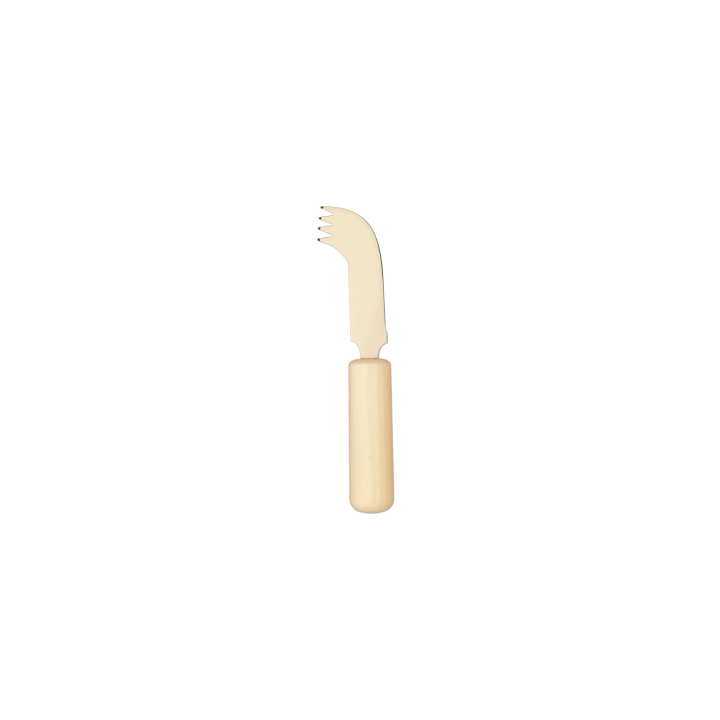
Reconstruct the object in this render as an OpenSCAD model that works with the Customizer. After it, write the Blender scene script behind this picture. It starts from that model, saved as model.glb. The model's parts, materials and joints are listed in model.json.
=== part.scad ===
// Fork-tipped cheese knife: a ground steel blade glued by its tang into a turned wooden handle.
// The knife is drawn flat, with the handle axis along Y, its front at Y = 0 and the blade ahead of it.
// It is then rolled about that axis until the last tine touches the table that the handle lies on.

/* [Handle] */
// Length of the handle along its axis
handle_l = 77.6; // [60:0.1:110]
// Diameter of the handle at its front, where the blade enters
handle_front_d = 21.5; // [18.6:0.1:26]
// Diameter of the handle at its widest, near the butt
handle_butt_d = 22.6; // [19:0.1:28]
// Rounding of the front shoulder, across the handle
handle_front_r = 5.5; // [1:0.1:5.6]
// Rounding of the front shoulder, along the handle
handle_front_l = 3.5; // [1:0.1:5]
// Rounding where the side turns into the butt
handle_butt_r = 6.8; // [3:0.1:8]
// Radius of the domed butt end
handle_dome_r = 22; // [16:0.5:40]

/* [Blade] */
// Thickness of the blade between its flats
blade_t = 1.5; // [1:0.1:2]
// Length of the blade from the handle front to the top of the hook
blade_l = 76.6; // [72:0.1:100]
// Width of the neck that leaves the handle
neck_w = 10; // [8:0.1:11]
// Radius of the hollow shoulders between the neck and the blade
shoulder_r = 6.3; // [4.5:0.1:8]
// Handle axis to the heel corner, across the blade
heel_w = 9.9; // [9.5:0.05:11]
// Handle front to the heel corner
heel_y = 7.6; // [7:0.1:9]
// Length of the heel at its full width
heel_l = 4.5; // [2:0.1:6]
// Length over which the heel runs in to the ground edge
heel_run_l = 3.2; // [3:0.1:8]
// Handle axis to the cutting edge, across the blade, where the grinding starts
edge_w = 9; // [8:0.05:9.4]
// Length of the straight part of the cutting edge
edge_l = 22.9; // [15:0.1:26]
// Lean of the straight cutting edge towards the hook, in degrees
edge_lean = 1.9; // [0:0.1:4]
// Handle axis to the back of the blade at its shoulder
spine_w = 10.1; // [9:0.05:11]
// Handle front to the shoulder corner of the back
spine_y = 8.6; // [7.5:0.1:10]
// Lean of the back away from the handle axis, in degrees
spine_lean = 1.2; // [0:0.1:3]
// Width of the ground bevel along the cutting edge
bevel_w = 2; // [1:0.1:3]
// Length over which the grinding runs in behind the cutting edge
grind_run_l = 4; // [2:0.1:6]
// Thickness left at the cutting edge
edge_t = 0.5; // [0.3:0.05:0.8]

/* [Hook and tines] */
// Handle axis to the tip of the first tine
tip_first_w = 25.6; // [24:0.1:28]
// Handle axis to the tip of the last tine
tip_last_w = 27.5; // [26:0.1:31]
// Length of the row of tips, from the top of the hook
tip_row_l = 16.1; // [15:0.1:19]
// Height by which the row of tips bows outwards between its ends
tip_row_bow = 0.4; // [0:0.05:0.8]
// Height of the blunt end of each tine
tip_land = 1; // [0.5:0.05:1.5]
// Width of the ground facets at the end of each tine
tip_bevel_w = 1.6; // [0.6:0.1:2]
// Depth of the gaps between tines
gap_depth = 9.2; // [5:0.1:10]
// Rounding at the bottom of each gap
gap_root_r = 0.4; // [0.2:0.05:0.6]
// Reach of the outer bend from the straight cutting edge
bend_edge_reach = 25; // [20:0.1:28]
// Reach of the outer bend from the first tip
bend_tip_reach = 27; // [20:0.1:29]
// Top of the hook to the point where its lower edge leaves the back
hook_drop = 28.3; // [27:0.1:31]
// Reach of the lower edge of the hook from the back
hook_spine_reach = 12.4; // [8:0.1:14]
// Reach of the lower edge of the hook from the last tip
hook_tip_reach = 4.7; // [3:0.1:8]
// Angle between the handle axis and the lower edge of the hook at the back, in degrees
hook_spine_angle = 35; // [20:1:40]
// Slope of the lower edge of the hook at the last tip, in degrees
hook_tip_angle = 30; // [18:1:36]

/* [Tang and its hole] */
// Length of the tang inside the handle
tang_l = 46; // [30:0.5:50]
// Width of the tang at the handle front
tang_w = 6; // [4:0.1:6.2]
// Width of the tang at its inner end
tang_end_w = 4.6; // [3:0.1:6]
// Thickness of the tang, ground thinner than the blade
tang_t = 1.2; // [0.8:0.1:1.4]
// Diameter of the glue notches in the sides of the tang
notch_d = 1.8; // [1:0.1:2.4]
// Diameter of the drilled hole in the handle
bore_d = 6.6; // [6.4:0.1:8]
// Room for adhesive between the inner end of the tang and the end of the hole
bore_room = 2; // [1:0.1:4]

/* [Hidden] */

// Places of the tips along their row, and of each gap's bottom between two tips, as shares
tine_shares = [0, 0.335, 0.65, 1];
gap_root_share = 0.77;
// Places of the glue notches along the tang, and the cone of the drill point, as shares
notch_shares = [0.4, 0.6, 0.8];
drill_point_share = 0.3;

// Straight pieces that each curve is drawn with
bend_steps = 30;
grind_steps = 19;
curve_steps = 14;
corner_steps = 10;
$fn = 96;

// Overrun of every cut past the face that it opens
cut_over = 0.5;

// Points of the blade's outline
heel_corner = [heel_w, heel_y];
heel_end = heel_corner + [0, heel_l];
edge_dir = [-sin(edge_lean), cos(edge_lean)];
edge_start = [edge_w, heel_end[1] + heel_run_l];
edge_end = edge_start + edge_l * edge_dir;
first_tip = [-tip_first_w, blade_l];
last_gap = len(tine_shares) - 2;
hook_start = [-spine_w - (blade_l - hook_drop - spine_y) * tan(spine_lean), blade_l - hook_drop];
spine_corner = [-spine_w, spine_y];
last_tip_low = tip(last_gap + 1) - [0, tip_land];

// Bezier control points of the outer bend, of the lower edge of the hook and of the heel's run-in
bend = [edge_end, edge_end + bend_edge_reach * edge_dir, first_tip + [bend_tip_reach, 0], first_tip];
hook = [
    last_tip_low,
    last_tip_low + hook_tip_reach * [cos(hook_tip_angle), -sin(hook_tip_angle)],
    hook_start + hook_spine_reach * [-sin(hook_spine_angle), cos(hook_spine_angle)],
    hook_start
];
heel_run = [
    heel_end,
    heel_end + [0, heel_run_l / 2],
    edge_start - heel_run_l / 2 * edge_dir,
    edge_start
];

// Depth of the grinding on each side, and the rise of its bevel for each millimetre away from the edge
grind_depth = (blade_t - edge_t) / 2;
bevel_rise = grind_depth / bevel_w;
// Half heights of the waste and of the body that bounds it, both past the flats
waste_h = (blade_t + cut_over) / 2;
body_h = waste_h + cut_over / 2;
// Length of the grinding's run-in up to the height of the waste
run_in_l = grind_run_l * (waste_h - edge_t / 2) / grind_depth;
// Height of the handle axis over the table that its widest part lies on
axis_h = max(handle_front_d, handle_butt_d) / 2;
// Farthest tip, and the roll at which the end of its lower facet or its end itself meets the table
tip_reach = -last_tip_low[0];
roll = min(touch_roll(tip_reach, edge_t / 2), touch_roll(tip_reach - tip_bevel_w, blade_t / 2));
// Middle of the box round the knife as it lies, across and along
box_mid_x = (axis_h - tip_reach * cos(roll) - edge_t / 2 * sin(roll)) / 2;
box_mid_y = (blade_l - handle_l) / 2;

function lerp(a, b, share) = a + (b - a) * share;
function unit(v) = v / norm(v);

// Roll that brings a point, this far across and below the blade's middle plane, down by the axis height
function touch_roll(across, below) = asin(axis_h / norm([across, below])) - atan(below / across);

// Point of a cubic Bezier curve at a share of its run, the way the curve goes there, and the side it faces
function bezier(p, s) =
    pow(1 - s, 3) * p[0] + 3 * pow(1 - s, 2) * s * p[1] + 3 * (1 - s) * s * s * p[2] + pow(s, 3) * p[3];
function bezier_way(p, s) =
    pow(1 - s, 2) * (p[1] - p[0]) + 2 * (1 - s) * s * (p[2] - p[1]) + s * s * (p[3] - p[2]);
function outward(way) = unit([way[1], -way[0]]);
function bezier_points(p, steps) = [for (i = [0 : steps]) bezier(p, i / steps)];

// Arc in even steps round a centre from one point to another, both at the same distance from it
function arc(centre, from, to, steps) =
    let (u = from - centre, v = to - centre, turn = acos(unit(u) * unit(v)), step = turn / steps)
    [for (i = [0 : steps]) centre + (sin(turn - i * step) * u + sin(i * step) * v) / sin(turn)];

// Corner at b, between a and c, rounded to a radius
function rounded(a, b, c, r) =
    let (
        u = unit(a - b),
        v = unit(c - b),
        half = acos(u * v) / 2,
        centre = b + unit(u + v) * r / sin(half)
    )
    arc(centre, b + u * r / tan(half), b + v * r / tan(half), corner_steps);

// Hollow shoulder from the neck out to a corner of the blade, on the side of the corner
function shoulder(corner) =
    let (
        side = sign(corner[0]),
        across = neck_w / 2 + shoulder_r,
        below = sqrt(pow(shoulder_r, 2) - pow(across - abs(corner[0]), 2)),
        centre = [side * across, corner[1] - below]
    )
    arc(centre, [side * neck_w / 2, centre[1]], corner, corner_steps);

// Front shoulder of the handle, a quarter of an ellipse from the front face to the side
function front_shoulder() =
    [for (i = [0 : corner_steps])
        let (turn = 90 * i / corner_steps)
        [handle_front_d / 2 - handle_front_r * (1 - sin(turn)), handle_front_l * (1 - cos(turn))]];

function reversed(points) = [for (i = [len(points) - 1 : -1 : 0]) points[i]];

// Upper corner of a tine's end
function tip(i) =
    let (share = tine_shares[i], bow = 4 * tip_row_bow * share * (1 - share))
    [-lerp(tip_first_w, tip_last_w, share) - bow, blade_l - tip_row_l * share];

// Outline from the lower corner of one tine's end, round the bottom of a gap, to the next tine's end
function gap(i) =
    let (
        from = tip(i) - [0, tip_land],
        to = tip(i + 1),
        root = lerp(from, to, gap_root_share) + [gap_depth, 0]
    )
    concat([from], rounded(from, root, to, gap_root_r), [to]);

function blade_outline() = concat(
    [[neck_w / 2, 0]],
    shoulder(heel_corner),
    bezier_points(heel_run, corner_steps),
    bezier_points(bend, bend_steps),
    [for (i = [0 : last_gap]) each gap(i)],
    bezier_points(hook, curve_steps),
    reversed(shoulder(spine_corner)),
    [[-neck_w / 2, 0]]
);

// Outer edge of the ground part, moved outwards, and closed well to the left of the tips
// and below the start of the grinding
function ground_outline(out) =
    let (below = run_in_l + cut_over, left = -tip_reach - 3 * cut_over)
    concat(
        [edge_start + out * outward(edge_dir) - below * edge_dir],
        [for (i = [0 : grind_steps])
            bezier(bend, i / grind_steps) + out * outward(bezier_way(bend, i / grind_steps))],
        [[left, blade_l + out], [left, edge_start[1] - below]]
    );

// Lays a piece drawn flat on the table, with the middle of the whole knife's box over the origin
module laid() {
    translate([-box_mid_x, -box_mid_y, axis_h]) rotate([0, -roll, 0]) children();
}

// Body whose sloping sides are the bevels, wider than the blade at its middle plane
// and narrower past its flats
module ground_body() {
    hull() {
        linear_extrude(height = edge_t / 2, center = true)
            polygon(ground_outline(edge_t / 4 / bevel_rise));
        linear_extrude(height = 2 * body_h, center = true)
            polygon(ground_outline((edge_t / 2 - body_h) / bevel_rise));
    }
}

// Waste that the grinding takes off along the cutting edge and round the outer bend, drawn as seen along X
module edge_waste() {
    grind_y = edge_start[1];
    difference() {
        translate([-tip_reach - 2 * cut_over, 0, 0])
            rotate([90, 0, 90])
                linear_extrude(height = tip_reach + heel_w + 3 * cut_over)
                    polygon([
                        [grind_y - run_in_l, waste_h],
                        [grind_y, edge_t / 2],
                        [grind_y, -edge_t / 2],
                        [grind_y - run_in_l, -waste_h],
                        [blade_l + cut_over, -waste_h],
                        [blade_l + cut_over, waste_h]
                    ]);
        ground_body();
    }
}

// Waste above the end of a tine, a wedge that leaves the edge thickness at the tip
module tip_waste(i) {
    rise = grind_depth / tip_bevel_w;
    over_x = cut_over / rise;
    span = tip_row_l / last_gap;
    translate([tip(i)[0], tip(i)[1] + span / 2, edge_t / 2])
        rotate([90, 0, 0])
            linear_extrude(height = span)
                polygon([
                    [-cut_over, -cut_over * rise],
                    [tip_bevel_w + over_x, tip_bevel_w * rise + cut_over],
                    [-cut_over, tip_bevel_w * rise + cut_over]
                ]);
}

// Tang along the handle axis, tapered and notched, starting inside the neck
module tang() {
    linear_extrude(height = tang_t, center = true)
        difference() {
            polygon([
                [tang_w / 2, heel_y / 2],
                [tang_w / 2, 0],
                [tang_end_w / 2, -tang_l],
                [-tang_end_w / 2, -tang_l],
                [-tang_w / 2, 0],
                [-tang_w / 2, heel_y / 2]
            ]);
            for (share = notch_shares, side = [-1, 1])
                translate([side * lerp(tang_w, tang_end_w, share) / 2, -tang_l * share])
                    circle(d = notch_d);
        }
}

// Drilled hole with its conical end, from the handle front inwards
module bore(over) {
    point_l = drill_point_share * bore_d;
    rotate([90, 0, 0])
        translate([0, 0, -over])
            rotate_extrude()
                polygon([
                    [0, 0],
                    [bore_d / 2, 0],
                    [bore_d / 2, over + tang_l + bore_room],
                    [0, over + tang_l + bore_room + point_l]
                ]);
}

module blade() {
    color("#f4e4c8")
        laid()
            union() {
                difference() {
                    linear_extrude(height = blade_t, center = true)
                        polygon(blade_outline());
                    edge_waste();
                    for (i = [0 : last_gap + 1], side = [0, 1])
                        mirror([0, 0, side])
                            tip_waste(i);
                }
                tang();
            }
}

// Turned handle, drawn as half its profile: radius across, length from the front along
module handle() {
    butt_across = handle_butt_d / 2 - handle_butt_r;
    butt_below = sqrt(pow(handle_dome_r - handle_butt_r, 2) - pow(butt_across, 2));
    dome_centre = [0, handle_l - handle_dome_r];
    butt_centre = dome_centre + [butt_across, butt_below];
    butt_join = dome_centre + handle_dome_r * unit(butt_centre - dome_centre);
    profile = concat(
        [[0, 0]],
        front_shoulder(),
        arc(butt_centre, butt_centre + [handle_butt_r, 0], butt_join, curve_steps),
        arc(dome_centre, butt_join, [0, handle_l], corner_steps)
    );
    color("#eed4ac")
        laid()
            difference() {
                rotate([90, 0, 0])
                    rotate_extrude()
                        polygon(profile);
                bore(cut_over);
            }
}

module tang_adhesive() {
    color("#d8bf92")
        laid()
            difference() {
                bore(0);
                tang();
            }
}

blade();
handle();
tang_adhesive();
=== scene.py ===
"""Looks of a fork-tipped cheese knife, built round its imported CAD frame.

A polished steel blade with a ground edge and ground tines sits in a turned wooden handle, set in adhesive.
Lengths are in metres in the frame of the CAD model, unless a name or its description says millimetres.
A name that ends in _mm says so.
"""

import json
import logging
import math
from collections.abc import Callable, Mapping, Sequence
from dataclasses import dataclass
from enum import Enum

import bmesh
import bpy
from mathutils import Euler, Matrix, Vector

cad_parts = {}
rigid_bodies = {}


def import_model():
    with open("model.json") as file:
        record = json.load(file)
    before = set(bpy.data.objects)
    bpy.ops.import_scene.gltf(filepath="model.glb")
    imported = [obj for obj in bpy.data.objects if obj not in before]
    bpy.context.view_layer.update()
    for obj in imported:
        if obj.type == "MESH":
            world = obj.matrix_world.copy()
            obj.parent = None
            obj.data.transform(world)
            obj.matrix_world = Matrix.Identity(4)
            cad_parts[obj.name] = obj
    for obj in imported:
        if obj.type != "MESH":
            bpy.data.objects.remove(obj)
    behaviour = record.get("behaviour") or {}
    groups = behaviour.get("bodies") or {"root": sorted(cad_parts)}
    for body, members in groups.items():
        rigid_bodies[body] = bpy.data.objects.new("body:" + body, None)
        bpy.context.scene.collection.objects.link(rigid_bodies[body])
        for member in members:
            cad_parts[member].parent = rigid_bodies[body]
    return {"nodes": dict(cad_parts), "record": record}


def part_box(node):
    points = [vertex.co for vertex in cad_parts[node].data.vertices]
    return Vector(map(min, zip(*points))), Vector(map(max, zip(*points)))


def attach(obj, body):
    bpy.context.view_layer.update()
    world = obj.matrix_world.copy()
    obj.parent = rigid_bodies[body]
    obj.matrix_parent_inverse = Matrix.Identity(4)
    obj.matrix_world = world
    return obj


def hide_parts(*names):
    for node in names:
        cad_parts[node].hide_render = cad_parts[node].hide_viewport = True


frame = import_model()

LOG = logging.getLogger("cheese_knife")
ROOT = "root"
MM = 0.001
# axes of space, and rows of a turn
AXES = 3
# distance within which two points are one point
MERGE_GAP = 1e-6
# middle of noise, lines and masks, which run from 0 to 1
MIDDLE = 0.5
WHITE = (1.0, 1.0, 1.0, 1.0)
# the curve of screen colours: straight up to a limit, and a shifted power above it
SCREEN_FULL = 255
SCREEN_LIMIT = 0.04045
SCREEN_SLOPE = 12.92
SCREEN_SHIFT = 0.055
SCREEN_POWER = 2.4
# numbers of the colour sockets on Blender's Mix node
MIX_FIRST, MIX_SECOND, MIX_RESULT = 6, 7, 2

Colour = tuple[float, float, float, float]
Ring = tuple[float, float]
Socket = bpy.types.NodeSocket
Sockets = bpy.types.bpy_prop_collection
Wired = float | Sequence[float] | Socket
Feeds = Mapping[str | int, Wired]


def linear(code: str) -> Colour:
    """Turns a screen colour into Blender's linear colour.

    Args:
        code: Six hexadecimal digits after a hash sign.

    Returns:
        Linear red, green, blue and a full alpha.
    """
    parts = (part / SCREEN_FULL for part in bytes.fromhex(code[1:]))
    red, green, blue = (
        part / SCREEN_SLOPE if part <= SCREEN_LIMIT
        else ((part + SCREEN_SHIFT) / (1 + SCREEN_SHIFT)) ** SCREEN_POWER
        for part in parts
    )
    return red, green, blue, 1.0


def spread(first: float, last: float, steps: int) -> list[float]:
    """Evenly spaced numbers from the first to the last."""
    return [first + (last - first) * step / steps for step in range(steps + 1)]


class LineWay(Enum):
    """The way that fine lines run on the knife, as a turn of the pattern from the knife's length."""

    ALONG = (0.0, "Z")
    ACROSS = (math.pi / 2, "Z")
    UPRIGHT = (math.pi / 2, "X")

    def turn(self) -> Matrix:
        """Rotation of the pattern."""
        return Matrix.Rotation(self.value[0], AXES, self.value[1])


@dataclass(frozen=True)
class Lay:
    """How the knife, drawn flat with its handle front at the origin, lies on the table.

    Attributes:
        front: Middle of the handle's front face.
        roll: Angle by which the blade is rolled about the handle axis.
    """

    front: Vector
    roll: float

    @classmethod
    def from_frame(cls) -> "Lay":
        """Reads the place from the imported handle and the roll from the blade's upper flat.

        Returns:
            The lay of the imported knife.
        """
        low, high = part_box("handle")
        middle = (low + high) / 2
        flat = next(mount for mount in frame["record"]["mounts"] if mount["name"] == "blade_flat")
        return cls(Vector((middle.x, high.y, middle.z)), math.atan2(-flat["axis"][0], flat["axis"][2]))

    def level(self) -> "Lay":
        """The same place without the roll, as the round handle is drawn."""
        return Lay(self.front, 0.0)

    def turn(self) -> Matrix:
        """Rotation from the flat drawing to the table."""
        return Matrix.Rotation(-self.roll, AXES, "Y")

    def across(self) -> Vector:
        """Direction across the blade on the table, towards the cutting edge."""
        return self.turn() @ Vector((1.0, 0.0, 0.0))

    def flat_point(self, point: Vector) -> Vector:
        """Place of a point in the flat drawing."""
        return self.turn().transposed() @ (point - self.front)

    def flat_way(self, way: Vector) -> Vector:
        """Direction in the flat drawing."""
        return self.turn().transposed() @ way

    def pattern_turn(self, way: LineWay) -> Euler:
        """Rotation of a pattern whose lines run one way on the knife."""
        return (self.turn() @ way.turn()).to_euler()


class MeshPart(Enum):
    """Kinds of parts of a mesh, by Blender's names for one of them and for all of them."""

    POINT = ("VERT", "verts")
    EDGE = ("EDGE", "edges")
    FACE = ("FACE", "faces")


class Shaping:
    """Edit mode on one piece, for the length of a with block."""

    def __init__(self, piece: bpy.types.Object) -> None:
        """Takes the piece that is shaped."""
        self.piece = piece

    def __enter__(self) -> "Shaping":
        """Opens the piece with all of it selected, and nothing else.

        Returns:
            This object.
        """
        only(self.piece)
        bpy.ops.object.mode_set(mode="EDIT")
        bpy.ops.mesh.select_mode(type="VERT")
        bpy.ops.mesh.select_all(action="SELECT")
        return self

    def __exit__(self, *_: object) -> None:
        """Closes the piece."""
        bpy.ops.object.mode_set(mode="OBJECT")

    def pick(self, part: MeshPart, test: Callable[[object], bool]) -> int:
        """Selects the parts of the mesh that pass a test, and nothing else.

        Args:
            part: Kind of the parts.
            test: Says whether a bmesh element is wanted.

        Returns:
            The number of parts that are selected.
        """
        one, every = part.value
        bpy.ops.mesh.select_mode(type=one)
        bpy.ops.mesh.select_all(action="DESELECT")
        mesh = bmesh.from_edit_mesh(self.piece.data)
        wanted = [item for item in getattr(mesh, every) if test(item)]
        for item in wanted:
            item.select_set(True)
        mesh.select_flush_mode()
        bmesh.update_edit_mesh(self.piece.data)
        return len(wanted)


def only(piece: bpy.types.Object) -> None:
    """Makes one object the only selected and the active one.

    Args:
        piece: The object.
    """
    bpy.ops.object.select_all(action="DESELECT")
    piece.select_set(True)
    bpy.context.view_layer.objects.active = piece


def settle(name: str) -> bpy.types.Object:
    """Names the newest primitive and puts its place into its mesh.

    Args:
        name: Name of the piece.

    Returns:
        The piece, at the origin.
    """
    piece = bpy.context.active_object
    piece.name = piece.data.name = name
    only(piece)
    bpy.ops.object.transform_apply(location=True, rotation=True, scale=True)
    return piece


def copied(node: str, name: str) -> bpy.types.Object:
    """Copies a CAD node's mesh into a new piece and joins its loose triangles.

    Args:
        node: Name of the CAD node.
        name: Name of the new piece.

    Returns:
        The new piece.
    """
    mesh = frame["nodes"][node].data.copy()
    mesh.materials.clear()
    piece = bpy.data.objects.new(name, mesh)
    mesh.name = name
    bpy.context.collection.objects.link(piece)
    with Shaping(piece):
        bpy.ops.mesh.customdata_custom_splitnormals_clear()
        bpy.ops.mesh.remove_doubles(threshold=MERGE_GAP)
    return piece


def smooth(piece: bpy.types.Object, angle: float) -> None:
    """Shades a piece smooth up to an angle between its faces."""
    only(piece)
    bpy.ops.object.shade_smooth_by_angle(angle=angle)


def mark(piece: bpy.types.Object, name: str, values: Sequence[float]) -> None:
    """Marks the points of a piece with a value each, for its materials."""
    attribute = piece.data.attributes.new(name, "FLOAT", "POINT")
    attribute.data.foreach_set("value", values)


def ready(piece: bpy.types.Object, node: str) -> None:
    """Puts a finished piece on the frame in place of a CAD node.

    Args:
        piece: Finished piece.
        node: CAD node that the piece stands for.
    """
    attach(piece, ROOT)
    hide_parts(node)
    LOG.info("%s: %d faces, stands for %s", piece.name, len(piece.data.polygons), node)


def opened(owner: bpy.types.Material | bpy.types.World) -> bpy.types.NodeTree:
    """Node tree of a material or world, switched on."""
    owner.use_nodes = True
    return owner.node_tree


@dataclass(frozen=True)
class Lines:
    """Fine lines on a finish: polishing and grinding lines, or the fibres of wood.

    Attributes:
        across: Lines for each millimetre across them.
        along: Breaks for each millimetre along a line.
        shade: Swing of the tone between lines.
        rough: Swing of the roughness between lines.
        contrast: Contrast of the lines.
    """

    across: float
    along: float
    shade: float
    rough: float
    contrast: float = 2.0


@dataclass(frozen=True)
class Cloud:
    """Slow drift of tone over a finish.

    Attributes:
        amount: Swing of the tone.
        scale: Clouds for each millimetre.
    """

    amount: float
    scale: float = 0.11


@dataclass(frozen=True)
class Wear:
    """Broken wear along the rims of a finish.

    Attributes:
        colour: Colour where the rims are worn.
        amount: Share of the wear.
        breakup: Patches for each millimetre.
    """

    colour: str
    amount: float
    breakup: float = 0.6


@dataclass(frozen=True)
class Relief:
    """Relief of a finish.

    Attributes:
        depth: Depth of a full step.
        strength: Share of the relief that shows.
    """

    depth: float
    strength: float = 0.6


@dataclass(frozen=True)
class Band:
    """Range of a value over which a colour comes in.

    Attributes:
        start: Value where the colour starts.
        full: Value where it is full.
        colour: The colour, or a factor on the colour under it.
    """

    start: float
    full: float
    colour: Colour


class Graph:
    """A node tree that is wired one node at a time."""

    def __init__(self, tree: bpy.types.NodeTree) -> None:
        """Starts from an empty tree."""
        self.tree = tree
        tree.nodes.clear()

    def add(self, kind: str, feeds: Feeds | None = None, **settings: object) -> bpy.types.Node:
        """Adds a node.

        Args:
            kind: Blender's name for the type of node.
            feeds: What goes into its sockets, by their names or numbers.
            settings: Properties of the node.

        Returns:
            The new node.
        """
        node = self.tree.nodes.new(kind)
        for name, value in settings.items():
            setattr(node, name, value)
        for name, value in (feeds or {}).items():
            self.feed(node.inputs[name], value)
        return node

    def feed(self, socket: Socket, value: Wired) -> None:
        """Wires a socket from another one, or sets its value.

        Args:
            socket: Socket that takes the value.
            value: Another socket, or a number, vector or colour.
        """
        if isinstance(value, Socket):
            self.tree.links.new(value, socket)
        else:
            socket.default_value = value

    def math(self, operation: str, *values: Wired, clamp: bool = False) -> Socket:
        """Works out one sum, by Blender's name for it, held between 0 and 1 if asked."""
        node = self.add("ShaderNodeMath", dict(enumerate(values)), operation=operation, use_clamp=clamp)
        return node.outputs[0]

    def swing(self, value: Socket) -> Socket:
        """How far a value that runs from 0 to 1 lies off its middle."""
        return self.math("SUBTRACT", value, MIDDLE)

    def ramp(self, value: Wired, low: float, high: float, start: float = 0.0, end: float = 1.0) -> Socket:
        """Eases from a start to an end as a value crosses a range, which may run downwards."""
        feeds = {"Value": value, "From Min": low, "From Max": high, "To Min": start, "To Max": end}
        return self.add("ShaderNodeMapRange", feeds, interpolation_type="SMOOTHSTEP").outputs["Result"]

    def stretched(self, vector: Socket, scale: Sequence[Wired]) -> Socket:
        """Scales a vector by a number or socket along each axis."""
        factors = self.add("ShaderNodeCombineXYZ", dict(enumerate(scale))).outputs[0]
        return self.add("ShaderNodeVectorMath", {0: vector, 1: factors}, operation="MULTIPLY").outputs[0]

    def noise(self, vector: Socket, detail: float, rough: float) -> Socket:
        """Noise from 0 to 1, one cell to each unit of a vector, with finer layers and their strength."""
        feeds = {"Vector": vector, "Scale": 1.0, "Detail": detail, "Roughness": rough}
        return self.add("ShaderNodeTexNoise", feeds).outputs["Fac"]

    def mix(self, share: Wired, first: Wired, second: Wired, blend: str = "MIX") -> Socket:
        """Mixes a share of the second colour into the first, in one of Blender's ways."""
        feeds = {"Factor": share, MIX_FIRST: first, MIX_SECOND: second}
        return self.add("ShaderNodeMix", feeds, data_type="RGBA", blend_type=blend).outputs[MIX_RESULT]

    def parts(self, vector: Socket) -> Sockets:
        """Sockets with the X, Y and Z parts of a vector."""
        return self.add("ShaderNodeSeparateXYZ", {0: vector}).outputs

    def scaled(self, colour: Socket, factor: Socket) -> Socket:
        """Multiplies a colour by a number."""
        return self.add("ShaderNodeVectorMath", {0: colour, "Scale": factor}, operation="SCALE").outputs[0]

    def effect(self, group: bpy.types.NodeTree, feeds: Feeds) -> Sockets:
        """Places a shared effect, and gives the sockets with its results."""
        return self.add("ShaderNodeGroup", feeds, node_tree=group).outputs

    def bump(self, height: Socket, relief: Relief) -> Socket:
        """Turns a height from 0 to 1 into a normal."""
        feeds = {"Height": height, "Distance": relief.depth, "Strength": relief.strength}
        return self.add("ShaderNodeBump", feeds).outputs["Normal"]

    def surface(self, feeds: Feeds) -> None:
        """Adds the main shader and the output of a material."""
        shader = self.add("ShaderNodeBsdfPrincipled", feeds)
        self.add("ShaderNodeOutputMaterial", {"Surface": shader.outputs["BSDF"]})


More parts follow.
